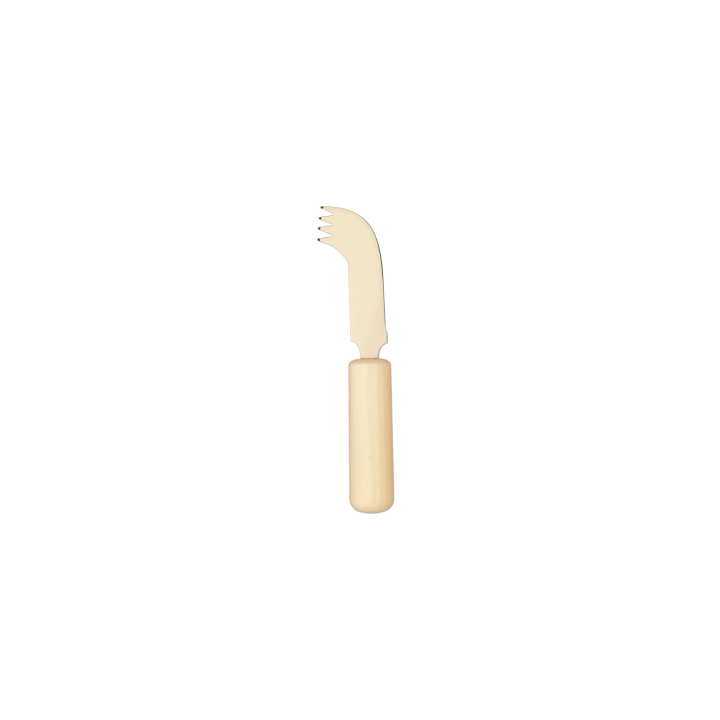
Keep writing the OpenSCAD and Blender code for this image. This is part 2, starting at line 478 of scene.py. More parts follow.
class Effects:
    """Effects that several finishes share, each a node group that is built once.

    Attributes:
        LINE_NOISE: Finer layers of the noise that fine lines are made from, and their strength.
        CLOUD_NOISE: The same for the slow drift of tone.
        WEAR_NOISE: The same for the patches of wear.
        WEAR_BAND: Noise at which a patch of wear starts and is full.
        BACK_MM: Band across the blade over which the tone of its back comes in.
        BACK_END_MM: Band along the blade over which the tone of its back comes in, at the hook.
        HEEL_SLOPE_MM: Lengths across and along the blade over which its tone shifts by one step to the heel.
        HEEL_STEPS: Steps between which the heel's tone comes in.
        LINE_START_MM: Band along the blade in which the dark line of the cutting edge, a painted dark
            reflection, comes in.
        LINE_SWELL_MM: Where the line starts to swell, is at its widest, narrows, and is thin again.
        LINE_FADE_MM: Band along the blade in which the line pales, towards the first tine.
        LINE_PALE: What is left of the line's darkness there.
        TIP_MM: Band across the blade in which the painted dark reflection on the tine ends starts.
        LINE_SHARES: Share of the bevel's width that the thin line takes, and that the swell adds.
        LINE_SOFT: Softness of the line's inner side, as a share of the bevel's width.
    """

    LINE_NOISE = (3.0, 0.65)
    CLOUD_NOISE = (2.0, 0.55)
    WEAR_NOISE = (3.0, 0.6)
    WEAR_BAND = (0.3, 0.7)
    BACK_MM = (-4.5, -10.5)
    BACK_END_MM = (51.0, 44.0)
    HEEL_SLOPE_MM = (10.0, -30.0)
    HEEL_STEPS = (-0.9, 0.1)
    LINE_START_MM = (14.0, 19.0)
    LINE_SWELL_MM = (36.0, 43.0, 54.0, 62.0)
    LINE_FADE_MM = (64.0, 75.0)
    LINE_PALE = 0.1
    TIP_MM = (-23.4, -24.2)
    LINE_SHARES = (0.02, 0.09)
    LINE_SOFT = 0.03

    def __init__(self) -> None:
        """Builds the groups."""
        self.fine_lines = self._fine_lines()
        self.cloudy_tone = self._cloudy_tone()
        self.edge_wear = self._edge_wear()
        self.blade_drift = self._blade_drift()
        self.edge_line = self._edge_line()

    @staticmethod
    def _group(name: str, inputs: dict[str, str], outputs: dict[str, str]) -> tuple[Graph, Sockets, Sockets]:
        """Starts a node group.

        Args:
            name: Name of the group.
            inputs: Socket types by the names of the inputs.
            outputs: Socket types by the names of the outputs.

        Returns:
            The graph, the sockets that bring the inputs, and those that take the outputs.
        """
        tree = bpy.data.node_groups.new(name, "ShaderNodeTree")
        for way, sockets in (("INPUT", inputs), ("OUTPUT", outputs)):
            for socket, kind in sockets.items():
                tree.interface.new_socket(socket, in_out=way, socket_type=f"NodeSocket{kind}")
        graph = Graph(tree)
        return graph, graph.add("NodeGroupInput").outputs, graph.add("NodeGroupOutput").inputs

    def _fine_lines(self) -> bpy.types.NodeTree:
        """Fine lines along the second axis.

        Returns:
            The group, which puts out Lines from 0 to 1.
        """
        graph, given, made = self._group(
            "fine_lines",
            {"Vector": "Vector", "Across": "Float", "Along": "Float", "Contrast": "Float"},
            {"Lines": "Float"},
        )
        place = graph.stretched(given["Vector"], (given["Across"], given["Along"], given["Across"]))
        swing = graph.swing(graph.noise(place, *self.LINE_NOISE))
        graph.feed(made["Lines"], graph.math("MULTIPLY_ADD", swing, given["Contrast"], MIDDLE, clamp=True))
        return graph.tree

    def _cloudy_tone(self) -> bpy.types.NodeTree:
        """Slow drift of tone over a surface.

        Returns:
            The group, which puts out Tone, a factor near 1.
        """
        graph, given, made = self._group(
            "cloudy_tone", {"Vector": "Vector", "Scale": "Float", "Amount": "Float"}, {"Tone": "Float"}
        )
        place = graph.stretched(given["Vector"], (given["Scale"],) * AXES)
        swing = graph.swing(graph.noise(place, *self.CLOUD_NOISE))
        graph.feed(made["Tone"], graph.math("MULTIPLY_ADD", swing, given["Amount"], 1.0))
        return graph.tree

    def _edge_wear(self) -> bpy.types.NodeTree:
        """Broken wear along rims, where a piece is touched most.

        Returns:
            The group, which puts out the worn Color.
        """
        graph, given, made = self._group(
            "edge_wear",
            {"Vector": "Vector", "Rim": "Float", "Breakup": "Float", "Amount": "Float",
             "Color": "Color", "Worn Color": "Color"},
            {"Color": "Color"},
        )
        place = graph.stretched(given["Vector"], (given["Breakup"],) * AXES)
        patches = graph.ramp(graph.noise(place, *self.WEAR_NOISE), *self.WEAR_BAND)
        rim = graph.math("MULTIPLY", given["Rim"], patches)
        mask = graph.math("MULTIPLY", rim, given["Amount"], clamp=True)
        graph.feed(made["Color"], graph.mix(mask, given["Color"], given["Worn Color"]))
        return graph.tree

    def _blade_drift(self) -> bpy.types.NodeTree:
        """Slow shift of the steel's tone towards the back of the blade and towards its heel.

        Returns:
            The group, which puts out the shifted Color.
        """
        graph, given, made = self._group(
            "blade_drift",
            {"Vector": "Vector", "Color": "Color", "Back Color": "Color", "Heel Color": "Color"},
            {"Color": "Color"},
        )
        place = graph.parts(given["Vector"])
        bands = (graph.ramp(place["X"], *self.BACK_MM), graph.ramp(place["Y"], *self.BACK_END_MM))
        colour = graph.mix(graph.math("MULTIPLY", *bands), given["Color"], given["Back Color"])
        steps = [graph.math("DIVIDE", place[axis], length) for axis, length in zip("XY", self.HEEL_SLOPE_MM)]
        heel = graph.ramp(graph.math("ADD", *steps), *self.HEEL_STEPS)
        graph.feed(made["Color"], graph.mix(heel, colour, given["Heel Color"]))
        return graph.tree

    def _edge_line(self) -> bpy.types.NodeTree:
        """Painted dark reflection: a dark line along the cutting edge, wider on the outer bend, which fades
        out at the heel, and dark tine ends.

        Returns:
            The group, which puts out the Mask of the line.
        """
        graph, given, made = self._group(
            "edge_line", {"Vector": "Vector", "Near": "Float"}, {"Mask": "Float"}
        )
        place = graph.parts(given["Vector"])
        along = place["Y"]
        first, widest, last, end = self.LINE_SWELL_MM
        swell = graph.math("MULTIPLY", graph.ramp(along, first, widest), graph.ramp(along, end, last))
        thin, added = self.LINE_SHARES
        width = graph.math("MULTIPLY_ADD", swell, added, thin)
        inside = graph.math("SUBTRACT", graph.math("ADD", given["Near"], width), 1.0)
        line = graph.math("MULTIPLY_ADD", inside, 1.0 / self.LINE_SOFT, MIDDLE, clamp=True)
        fade = graph.ramp(along, *self.LINE_FADE_MM, 1.0, self.LINE_PALE)
        dark = graph.math("MULTIPLY", graph.ramp(along, *self.LINE_START_MM), fade)
        dark = graph.math("MAXIMUM", dark, graph.ramp(place["X"], *self.TIP_MM))
        graph.feed(made["Mask"], graph.math("MULTIPLY", line, dark))
        return graph.tree


class FinishGraph(Graph):
    """The node tree of a new material, with the lay of the knife and the shared effects at hand."""

    def __init__(self, name: str, effects: Effects, lay: Lay) -> None:
        """Makes the material.

        Args:
            name: Name of the material.
            effects: Shared effects.
            lay: Lay of the knife.
        """
        self.material = bpy.data.materials.new(name)
        self.effects = effects
        self.lay = lay
        super().__init__(opened(self.material))

    def place(self, lay: Lay, way: LineWay = LineWay.ALONG) -> Socket:
        """Place in a flat drawing in millimetres, turned so that its lines run along the second axis.

        Args:
            lay: Lay of the flat drawing.
            way: The way that the lines run.

        Returns:
            The socket with the place.
        """
        feeds = {
            "Vector": self.add("ShaderNodeTexCoord").outputs["Object"],
            "Location": lay.front,
            "Rotation": lay.pattern_turn(way),
            "Scale": (MM,) * AXES,
        }
        return self.add("ShaderNodeMapping", feeds, vector_type="TEXTURE").outputs["Vector"]

    def marked(self, name: str) -> Socket:
        """Value that the points of a piece were marked with."""
        return self.add("ShaderNodeAttribute", attribute_name=name).outputs["Fac"]

    def lines(self, place: Socket, lines: Lines) -> Socket:
        """Fine lines, from 0 to 1."""
        feeds = {"Vector": place, "Across": lines.across, "Along": lines.along, "Contrast": lines.contrast}
        return self.effect(self.effects.fine_lines, feeds)["Lines"]

    def tone(self, place: Socket, cloud: Cloud) -> Socket:
        """Slow drift of tone, a factor near 1."""
        feeds = {"Vector": place, "Scale": cloud.scale, "Amount": cloud.amount}
        return self.effect(self.effects.cloudy_tone, feeds)["Tone"]

    def shaded(self, colour: Socket, tone: Socket, swing: Socket, shade: float) -> Socket:
        """Varies a colour by a drift of tone, and by a shade for the swing of its fine lines."""
        lines = self.math("MULTIPLY_ADD", swing, shade, 1.0)
        return self.scaled(colour, self.math("MULTIPLY", tone, lines))

    def worn(self, colour: Socket, place: Socket, wear: Wear) -> Socket:
        """Wears a colour along the rims.

        Args:
            colour: Socket with the colour.
            place: Socket with the place in millimetres.
            wear: The wear.

        Returns:
            The socket with the worn colour.
        """
        feeds = {
            "Vector": place,
            "Rim": self.marked("rim"),
            "Breakup": wear.breakup,
            "Amount": wear.amount,
            "Color": colour,
            "Worn Color": linear(wear.colour),
        }
        return self.effect(self.effects.edge_wear, feeds)["Color"]


@dataclass(frozen=True)
class Finish:
    """A finish, which makes its own material.

    Attributes:
        name: Name of the material.
    """

    name: str

    def material(self, effects: Effects, lay: Lay) -> bpy.types.Material:
        """Makes the material.

        Args:
            effects: Shared effects.
            lay: Lay of the knife.

        Returns:
            The material.
        """
        graph = FinishGraph(self.name, effects, lay)
        self.wire(graph)
        return graph.material

    def wire(self, graph: FinishGraph) -> None:
        """Wires the nodes of the material."""
        raise NotImplementedError


@dataclass(frozen=True)
class SteelFinish(Finish):
    """One finish of the blade's steel.

    Attributes:
        tints: Colour of the metal in general, towards the back of the blade and towards its heel.
        rough: Mean roughness.
        way: The way that its fine lines run.
        lines: Its fine lines.
        relief: Relief of those lines.
        cloud: Its slow drift of tone.
        wear: Wear on its rims, if they are worn; on the edge rims and tine ends this darkening is painted
            dark reflection.
        edge_reflection_tint: Colour of the painted dark reflection along the cutting edge and on the tine
            ends, where the finish reaches it.
    """

    tints: tuple[str, str, str]
    rough: float
    way: LineWay
    lines: Lines
    relief: Relief
    cloud: Cloud
    wear: Wear | None = None
    edge_reflection_tint: str | None = None

    def wire(self, graph: FinishGraph) -> None:
        """Wires the metal with its fine lines, drift of tone and wear.

        Args:
            graph: Graph of the material.
        """
        place = graph.place(graph.lay, self.way)
        lines = graph.lines(place, self.lines)
        swing = graph.swing(lines)
        colour = graph.shaded(self._metal(graph), graph.tone(place, self.cloud), swing, self.lines.shade)
        graph.surface({
            "Base Color": graph.worn(colour, place, self.wear) if self.wear else colour,
            "Metallic": 1.0,
            "Roughness": graph.math("MULTIPLY_ADD", swing, self.lines.rough, self.rough, clamp=True),
            "Normal": graph.bump(lines, self.relief),
        })

    def _metal(self, graph: FinishGraph) -> Socket:
        """Colour of the metal before its lines and wear.

        Args:
            graph: Graph of the material.

        Returns:
            The socket with the colour.
        """
        place = graph.place(graph.lay)
        tints = zip(("Color", "Back Color", "Heel Color"), map(linear, self.tints))
        colour = graph.effect(graph.effects.blade_drift, {"Vector": place, **dict(tints)})["Color"]
        # painted dark reflection along the cutting edge and on the tine ends
        if self.edge_reflection_tint:
            feeds = {"Vector": place, "Near": graph.marked("edge")}
            mask = graph.effect(graph.effects.edge_line, feeds)["Mask"]
            colour = graph.mix(mask, colour, linear(self.edge_reflection_tint))
        return colour


class BladeFace(Enum):
    """Finishes of the blade by the kind of face, in the order of its material slots."""

    FLAT = SteelFinish(
        "polished_steel", ("#f4e4c8", "#f6e5d1", "#efdec2"), rough=0.24, way=LineWay.ALONG,
        lines=Lines(across=7.0, along=0.05, shade=0.05, rough=0.12), relief=Relief(2e-6), cloud=Cloud(0.03),
    )
    # ground bevels, whose line along the cutting edge is a painted dark reflection
    BEVEL = SteelFinish(
        "ground_steel", ("#efdfc2", "#f0e0c6", "#ecdcbf"), rough=0.32, way=LineWay.ACROSS,
        lines=Lines(across=9.0, along=0.3, shade=0.12, rough=0.16), relief=Relief(4e-6), cloud=Cloud(0.03),
        edge_reflection_tint="#30250f",
    )
    # walls and rim roundings: sheared steel, darkened by painted shade at the tines, the hook and along the
    # cutting edge, and paler towards the back and the heel
    SIDE = SteelFinish(
        "sheared_steel", ("#6c6353", "#b3a791", "#b3a791"), rough=0.42, way=LineWay.UPRIGHT,
        lines=Lines(across=6.0, along=0.35, shade=0.22, rough=0.2), relief=Relief(6e-6), cloud=Cloud(0.06),
        wear=Wear("#bfb19a", 0.25),
    )
    # rims of the cutting edge and the tine ends: ground steel, whose dark colour, dark rim wear and edge
    # line are a painted dark reflection
    KEEN = SteelFinish(
        "dark_ground_steel", ("#a89c87", "#a89c87", "#a89c87"), rough=0.45, way=LineWay.ACROSS,
        lines=Lines(across=9.0, along=0.5, shade=0.3, rough=0.2), relief=Relief(4e-6), cloud=Cloud(0.08),
        wear=Wear("#4a4335", 0.3), edge_reflection_tint="#332b1c",
    )


@dataclass(frozen=True)
class TurnedWood(Finish):
    """Pale close-grained hardwood, turned and lacquered.

    Attributes:
        name: Name of the material.
        early: Colour of the wood that grows first in each ring.
        late: Colour of the denser wood that ends each ring.
        late_rise: Shares of a ring between which the late wood comes in.
        late_fall: Shares of a ring between which it stops.
        ring_mm: Width of a growth ring.
        pith_mm: Place of the middle of the tree, across and above the handle axis.
        wobble_mm: How far the rings waver.
        wobble_scale: Wavers for each millimetre across, along and above the handle.
        wobble_noise: Finer layers of the noise that the wavers are made from, and their strength.
        lines: Fibres of the wood.
        line_height: Height of the fibres, as a share of the depth of the pores.
        relief: Relief of the pores.
        cloud: Slow drift of tone.
        wear: Rims that hands have darkened.
        pore: Colour of the pores and short ray flecks.
        pore_share: Share of that colour in a pore.
        pore_scale: Pores for each millimetre across, along and above the handle.
        pore_noise: Finer layers of the noise that the pores are made from, and their strength.
        pore_band: Noise at which a pore starts and is full.
        fleck: Colour of the one larger fleck.
        fleck_share: Share of that colour in the fleck.
        fleck_mm: Place of the fleck, across and along the knife.
        fleck_size_mm: Half its width and half its length.
        fleck_band: Where it starts and is full, as squares of the share of its size.
        lower_right_shade: Painted warm shade on the right and lower side, as a factor on the colour, by the
            distance from the middle of the tree in millimetres.
        low_side_shade: Painted shade low on the sides and underneath, as a factor on the colour, by the
            height over the axis in millimetres.
        grip: Darkening by hands towards the butt, by the place along the handle in millimetres.
        outline_shade: Painted shade along the outline, where a surface turns away from the eye, by how far
            it turns away.
        ends: End grain at the front and round the butt, with painted shade on the rounded shoulders, by how
            far a surface faces along the handle.
        end_share: Share of the colour of the end grain and its painted shade where it is full.
        end_ragged: How far the fibres make the border of the end grain and its painted shade ragged.
        end_rough: Roughness that end grain adds.
        rough: Mean roughness.
        coat: Weight and roughness of the lacquer.
    """

    name: str = "turned_wood"
    early: str = "#f6e6c6"
    late: str = "#f3e1bd"
    late_rise: tuple[float, float] = (0.3, 0.88)
    late_fall: tuple[float, float] = (1.0, 0.9)
    ring_mm: float = 2.7
    pith_mm: tuple[float, float] = (31.0, -44.0)
    wobble_mm: float = 2.6
    wobble_scale: tuple[float, float, float] = (0.06, 0.014, 0.06)
    wobble_noise: tuple[float, float] = (2.0, 0.5)
    lines: Lines = Lines(across=4.5, along=0.09, shade=0.07, rough=0.12, contrast=2.2)
    line_height: float = 0.5
    relief: Relief = Relief(3e-5, 0.35)
    cloud: Cloud = Cloud(0.08, 0.05)
    wear: Wear = Wear("#dcbd8e", 0.15, 0.35)
    pore: str = "#c9a877"
    pore_share: float = 0.3
    pore_scale: tuple[float, float, float] = (3.4, 0.42, 3.4)
    pore_noise: tuple[float, float] = (1.0, 0.4)
    pore_band: tuple[float, float] = (0.68, 0.76)
    fleck: str = "#c3ad8c"
    fleck_share: float = 0.3
    fleck_mm: tuple[float, float] = (-0.65, -49.15)
    fleck_size_mm: tuple[float, float] = (0.55, 0.85)
    fleck_band: tuple[float, float] = (1.2, 0.25)
    lower_right_shade: Band = Band(64.2, 54.5, (1.0, 0.84, 0.6, 1.0))
    low_side_shade: Band = Band(8.5, 4.5, (1.0, 0.88, 0.8, 1.0))
    grip: Band = Band(-14.0, -74.0, (0.98, 0.945, 0.9, 1.0))
    outline_shade: Band = Band(0.52, 0.85, (0.7, 0.72, 0.8, 1.0))
    ends: tuple[Band, ...] = (Band(0.14, 0.52, linear("#f5caa0")), Band(-0.5, -0.9, linear("#f4d6b0")))
    end_share: float = 0.85
    end_ragged: float = 0.22
    end_rough: float = 0.12
    rough: float = 0.5
    coat: tuple[float, float] = (0.15, 0.28)

    def wire(self, graph: FinishGraph) -> None:
        """Wires the wood with its rings, fibres, pores and end grain, under its lacquer, and paints shade on
        the lower right, low down, on the shoulders and along the outline.

        Args:
            graph: Graph of the material.
        """
        place = graph.place(graph.lay.level())
        parts = graph.parts(place)
        lines = graph.lines(place, self.lines)
        swing = graph.swing(lines)
        pores = graph.noise(graph.stretched(place, self.pore_scale), *self.pore_noise)
        pores = graph.ramp(pores, *self.pore_band)
        pith = self._pith_distance(graph, parts)
        colour = graph.mix(self._late_wood(graph, place, pith), linear(self.early), linear(self.late))
        colour = graph.shaded(colour, graph.tone(place, self.cloud), swing, self.lines.shade)
        for mask, share, code in ((pores, self.pore_share, self.pore),
                                  (self._fleck(graph, parts), self.fleck_share, self.fleck)):
            colour = graph.mix(graph.math("MULTIPLY", mask, share), colour, linear(code))
        # the first two bands paint shade, warm on the lower right side and low on the sides and underneath;
        # the third darkens towards the butt
        for value, band in ((pith, self.lower_right_shade), (parts["Z"], self.low_side_shade), (parts["Y"], self.grip)):
            colour = graph.mix(graph.ramp(value, band.start, band.full), colour, band.colour, "MULTIPLY")
        # end grain at the front and round the butt, darkened further by painted shade on the rounded
        # shoulders
        facing = graph.parts(graph.add("ShaderNodeTexCoord").outputs["Normal"])["Y"]
        facing = graph.math("MULTIPLY_ADD", swing, self.end_ragged, facing)
        ends = [graph.ramp(facing, end.start, end.full, 0.0, self.end_share) for end in self.ends]
        for share, end in zip(ends, self.ends):
            colour = graph.mix(share, colour, end.colour)
        # painted shade along the outline, where the surface turns away from the eye
        away = graph.add("ShaderNodeLayerWeight").outputs["Facing"]
        away = graph.ramp(away, self.outline_shade.start, self.outline_shade.full)
        colour = graph.mix(away, colour, self.outline_shade.colour, "MULTIPLY")
        height = graph.math("SUBTRACT", graph.math("MULTIPLY", lines, self.line_height), pores)
        rough = graph.math("MULTIPLY_ADD", swing, self.lines.rough, self.rough)
        end_grain = graph.math("ADD", *ends)
        coat_weight, coat_rough = self.coat
        graph.surface({
            "Base Color": graph.worn(colour, place, self.wear),
            "Roughness": graph.math("MULTIPLY_ADD", end_grain, self.end_rough, rough, clamp=True),
            "Coat Weight": coat_weight,
            "Coat Roughness": coat_rough,
            "Normal": graph.bump(height, self.relief),
        })

    def _pith_distance(self, graph: FinishGraph, parts: Sockets) -> Socket:
        """Distance from the middle of the tree in millimetres.

        Args:
            graph: Graph of the material.
            parts: Sockets with the parts of the place in millimetres.

        Returns:
            The socket with the distance.
        """
        across, above = (graph.math("SUBTRACT", parts[axis], at) for axis, at in zip("XZ", self.pith_mm))
        square = graph.math("MULTIPLY_ADD", across, across, graph.math("MULTIPLY", above, above))
        return graph.math("SQRT", square)

    def _late_wood(self, graph: FinishGraph, place: Socket, pith: Socket) -> Socket:
        """Share of late wood in the growth rings.

        Args:
            graph: Graph of the material.
            place: Socket with the place in millimetres.
            pith: Socket with the distance from the middle of the tree.

        Returns:
            The socket with the share.
        """
        wobble = graph.noise(graph.stretched(place, self.wobble_scale), *self.wobble_noise)
        wavering = graph.math("MULTIPLY_ADD", wobble, self.wobble_mm, pith)
        ring = graph.math("FRACT", graph.math("DIVIDE", wavering, self.ring_mm))
        rise, fall = (graph.ramp(ring, *band) for band in (self.late_rise, self.late_fall))
        return graph.math("MULTIPLY", rise, fall)

    def _fleck(self, graph: FinishGraph, parts: Sockets) -> Socket:
        """Mask of the one larger fleck, on the upper side of the handle.

        Args:
            graph: Graph of the material.
            parts: Sockets with the parts of the place in millimetres.

        Returns:
            The socket with the mask.
        """
        sides = []
        for axis, middle, half in zip("XY", self.fleck_mm, self.fleck_size_mm):
            share = graph.math("DIVIDE", graph.math("SUBTRACT", parts[axis], middle), half)
            sides.append(graph.math("MULTIPLY", share, share))
        mask = graph.ramp(graph.math("ADD", *sides), *self.fleck_band)
        return graph.math("MULTIPLY", mask, graph.math("GREATER_THAN", parts["Z"], 0.0))


@dataclass(frozen=True)
class CuredAdhesive(Finish):
    """Hard amber adhesive, with dark spots across the neck.

    Attributes:
        name: Name of the material.
        colour: Colour in the thick parts.
        pale: Colour in the thin parts.
        pale_band: Noise at which a thin part starts and is full.
        lump_scale: Lumps for each millimetre.
        lump_noise: Finer layers of the noise that the lumps are made from, and their strength.
        spot: Colour of the spots.
        spots_mm: Places of the spots across the neck, each with half its width.
        cloud: Drift of tone.
        relief: Relief of the lumps.
        rough: Roughness of the thick and of the thin parts.
        rough_band: Noise over which the roughness changes from one to the other.
        coat: Weight and roughness of the skin.
    """

    name: str = "cured_adhesive"
    colour: str = "#d0b280"
    pale: str = "#dec497"
    pale_band: tuple[float, float] = (0.35, 0.65)
    lump_scale: float = 0.8
    lump_noise: tuple[float, float] = (3.0, 0.6)
    spot: str = "#47371c"
    spots_mm: tuple[tuple[float, float], ...] = ((-3.5, 0.9), (0.0, 0.5), (3.4, 1.3))
    cloud: Cloud = Cloud(0.35, 0.9)
    relief: Relief = Relief(4e-5, 0.4)
    rough: tuple[float, float] = (0.18, 0.32)
    rough_band: tuple[float, float] = (0.3, 0.7)
    coat: tuple[float, float] = (0.3, 0.1)

    def wire(self, graph: FinishGraph) -> None:
        """Wires the adhesive with its lumps and spots.

        Args:
            graph: Graph of the material.
        """
        place = graph.place(graph.lay)
        lumps = graph.noise(graph.stretched(place, (self.lump_scale,) * AXES), *self.lump_noise)
        colour = graph.mix(graph.ramp(lumps, *self.pale_band), linear(self.colour), linear(self.pale))
        colour = graph.mix(self._spots(graph, place), colour, linear(self.spot))
        coat_weight, coat_rough = self.coat
        graph.surface({
            "Base Color": graph.scaled(colour, graph.tone(place, self.cloud)),
            "Roughness": graph.ramp(lumps, *self.rough_band, *self.rough),
            "Coat Weight": coat_weight,
            "Coat Roughness": coat_rough,
            "Normal": graph.bump(lumps, self.relief),
        })

    def _spots(self, graph: FinishGraph, place: Socket) -> Socket:
        """Mask of the dark spots, which lie ahead of the handle front.

        Args:
            graph: Graph of the material.
            place: Socket with the place in millimetres.

        Returns:
            The socket with the mask.
        """
        parts = graph.parts(place)
        mask: Wired = 0.0
        for middle, half in self.spots_mm:
            off = graph.math("ABSOLUTE", graph.math("SUBTRACT", parts["X"], middle))
            mask = graph.math("MAXIMUM", mask, graph.ramp(off, half, 0.0))
        return graph.math("MULTIPLY", mask, graph.math("GREATER_THAN", parts["Y"], 0.0))


@dataclass(frozen=True)
class Part:
    """A piece of the knife.

    Attributes:
        lay: Lay of the knife.
        effects: Shared effects.
    """

    lay: Lay
    effects: Effects

    def build(self) -> bpy.types.Object:
        """Shapes the piece."""
        raise NotImplementedError

    def dress(self, piece: bpy.types.Object) -> None:
        """Gives the piece its materials."""
        raise NotImplementedError


@dataclass(frozen=True)
class Blade(Part):
    """The steel blade with its ground edge, tines and hidden tang.

    Attributes:
        flat_angle: Angle within which neighbouring CAD faces are one face.
        rim_round: Width of the rounding along the rims and of the ground line along the cutting edge.
        steps: Faces across each rounding.
        ground_y: Handle front to the start of the cutting edge.
        run_in: Length of the sloping start of the grinding, behind the cutting edge.
        tine_x: Handle axis to the bottoms of the gaps between tines, across the blade.
        bend_y: Handle front to the lowest point of the outer bend above the tines.
        tip_x: Handle axis to the innermost of the ground tine ends.
        first_tip: Handle axis and handle front to the inner corner of the end of the first tine, which takes
            the painted dark reflection.
        flat_tilt: Share of a face's normal, square to the blade's flats, above which the face is flat.
        ground_tilt: Share above which a face off the flats is a ground bevel.
        side_tilt: Share under which a face is part of the side or of its rounding.
        wall_tilt: Share under which a face stands square to the flats.
        outward: Share of a face's normal along the flats above which it looks outwards.
        smooth_angle: Angle up to which faces are shaded as one surface.
    """

    flat_angle: float = math.radians(0.4)
    rim_round: float = 0.00022
    steps: int = 3
    ground_y: float = 0.0153
    run_in: float = 0.004
    tine_x: float = -0.0155
    bend_y: float = 0.0739
    tip_x: float = -0.0238
    first_tip: tuple[float, float] = (-0.0246, 0.075)
    flat_tilt: float = 0.9985
    ground_tilt: float = 0.94
    side_tilt: float = 0.98
    wall_tilt: float = 0.1
    outward: float = 0.05
    smooth_angle: float = math.radians(32)

    def build(self) -> bpy.types.Object:
        """Rounds the rims of a copy of the CAD blade, then parts off the end of its first tine, which takes
        the painted dark reflection.

        The cut comes after the rounding, because it would meet a ridge within the rounding's width.

        Returns:
            The blade.
        """
        piece = copied("blade", "blade_body")
        with Shaping(piece) as shaping:
            bpy.ops.mesh.dissolve_limited(angle_limit=self.flat_angle)
            count = shaping.pick(MeshPart.EDGE, self._is_rim)
            bpy.ops.mesh.bevel(offset=self.rim_round, segments=self.steps, affect="EDGES",
                               clamp_overlap=False)
            shaping.pick(MeshPart.FACE, self._at_first_tip)
            across = self.lay.across()
            bpy.ops.mesh.bisect(plane_co=self.lay.front + across * self.first_tip[0], plane_no=across)
        LOG.info("blade_body: %d rims rounded by %.2f mm", count, self.rim_round / MM)
        smooth(piece, self.smooth_angle)
        modifier = piece.modifiers.new("weighted_normal", "WEIGHTED_NORMAL")
        modifier.keep_sharp = True
        bpy.ops.object.modifier_apply(modifier=modifier.name)
        return piece

    def dress(self, piece: bpy.types.Object) -> None:
        """Gives each face its finish, and marks the rims and the cutting edge.

        Args:
            piece: The blade.
        """
        kinds = list(BladeFace)
        for kind in kinds:
            piece.data.materials.append(kind.value.material(self.effects, self.lay))
        points = {"rim": set(), "edge": set()}
        for face in piece.data.polygons:
            normal = self.lay.flat_way(face.normal)
            corners = (self.lay.flat_point(piece.data.vertices[vertex].co) for vertex in face.vertices)
            kind = self.kind_of(normal, self.lay.flat_point(face.center), max(point.x for point in corners))
            face.material_index = kinds.index(kind)
            if self.wall_tilt < abs(normal.z) < self.ground_tilt:
                points["rim"].update(face.vertices)
            if kind is BladeFace.KEEN:
                points["edge"].update(face.vertices)
        for name, marked in points.items():
            mark(piece, name, [float(index in marked) for index in range(len(piece.data.vertices))])

    def kind_of(self, normal: Vector, middle: Vector, inner: float) -> BladeFace:
        """Kind of a face of the blade.

        Args:
            normal: The way that the face looks, in the flat drawing.
            middle: Its middle, in the flat drawing.
            inner: Its point that lies farthest from the tips, across the blade.

        Returns:
            The kind.
        """
        tilt = abs(normal.z)
        if tilt > self.flat_tilt:
            return BladeFace.FLAT
        tine_end = inner < self.tip_x and normal.x < -self.wall_tilt
        first_end = middle.x < self.first_tip[0] and middle.y > self.first_tip[1]
        if tine_end or first_end:
            return BladeFace.KEEN
        if self._on_ground_edge(normal, middle):
            if tilt > self.ground_tilt:
                return BladeFace.BEVEL
            if middle.y > self.ground_y:
                return BladeFace.KEEN
        return BladeFace.SIDE if tilt < self.side_tilt else BladeFace.FLAT

    def _on_ground_edge(self, normal: Vector, middle: Vector) -> bool:
        """Whether a face belongs to the cutting edge, its run-in or the outer bend.

        Args:
            normal: The way that the face looks, in the flat drawing.
            middle: Its middle, in the flat drawing.

        Returns:
            True if it does.
        """
        outer = middle.x > self.tine_x or middle.y > self.bend_y
        ahead = middle.y > self.ground_y - self.run_in
        return ahead and outer and max(normal.x, normal.y) > self.outward

    def _at_first_tip(self, face: bmesh.types.BMFace) -> bool:
        """Whether a face reaches the end of the first tine.

        Args:
            face: A face of the blade.

        Returns:
            True if it does.
        """
        reach = [self.lay.flat_point(vertex.co) for vertex in face.verts]
        across = any(point.x < self.first_tip[0] and point.y > self.first_tip[1] for point in reach)
        return across and all(point.y > self.bend_y for point in reach)

    def _is_rim(self, edge: bmesh.types.BMEdge) -> bool:
        """Whether an edge lies between a wall of the blade and another face, ahead of the handle.

        Args:
            edge: An edge of the blade.

        Returns:
            True if it does.
        """
        normals = [self.lay.flat_way(face.normal) for face in edge.link_faces]
        walls = sum(abs(normal.z) < self.wall_tilt for normal in normals)
        seat = any(normal.y < -self.flat_tilt for normal in normals)
        ahead = all(self.lay.flat_point(vertex.co).y > -MERGE_GAP for vertex in edge.verts)
        return walls == 1 and ahead and not seat


